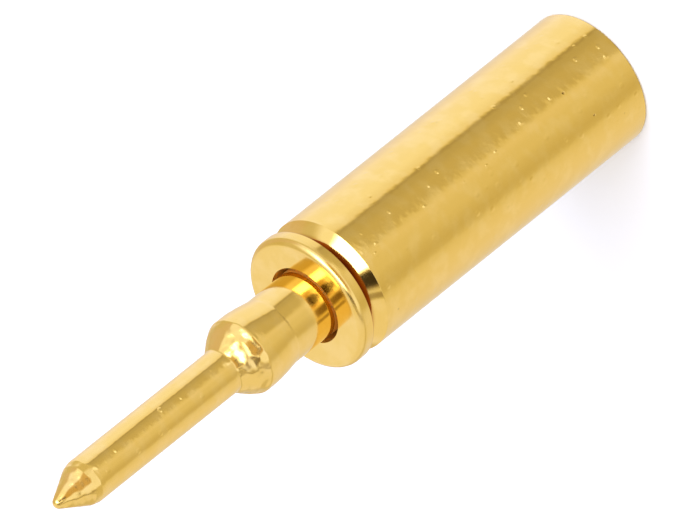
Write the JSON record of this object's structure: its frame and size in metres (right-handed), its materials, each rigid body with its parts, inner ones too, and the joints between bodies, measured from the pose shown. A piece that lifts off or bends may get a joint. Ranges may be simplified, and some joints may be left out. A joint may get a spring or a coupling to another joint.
{
  "type": "pogo pin",
  "caption": "Spring-loaded contact pin: a round gold-plated barrel with a grooved mouth and a pointed plunger that slides in against a spring.",
  "frame": {"origin": "centre of the barrel's flat base", "axes": "+Z along the pin from the barrel's base to the plunger's tip; X and Y are any two directions across it"},
  "size_m": [0.0018, 0.0018, 0.0098],
  "materials": {
    "gold_plate": "polished gold plate on turned brass, with faint turning marks",
    "plunger_gold": "polished gold plate on a turned copper alloy",
    "spring_steel": "bright drawn wire"
  },
  "bodies": {
    "housing": {"barrel": "gold_plate", "guide_bushing": "gold_plate", "spring": "spring_steel"},
    "plunger": {"plunger": "plunger_gold"}
  },
  "joints": [
    {"name": "plunger_slide", "type": "slide", "parent": "housing", "child": "plunger", "axis": [0, 0, 1], "range_m": [-0.0006, 0], "stiffness_N_per_m": 800, "springref_m": 0.0004, "deforming": ["spring"]}
  ]
}
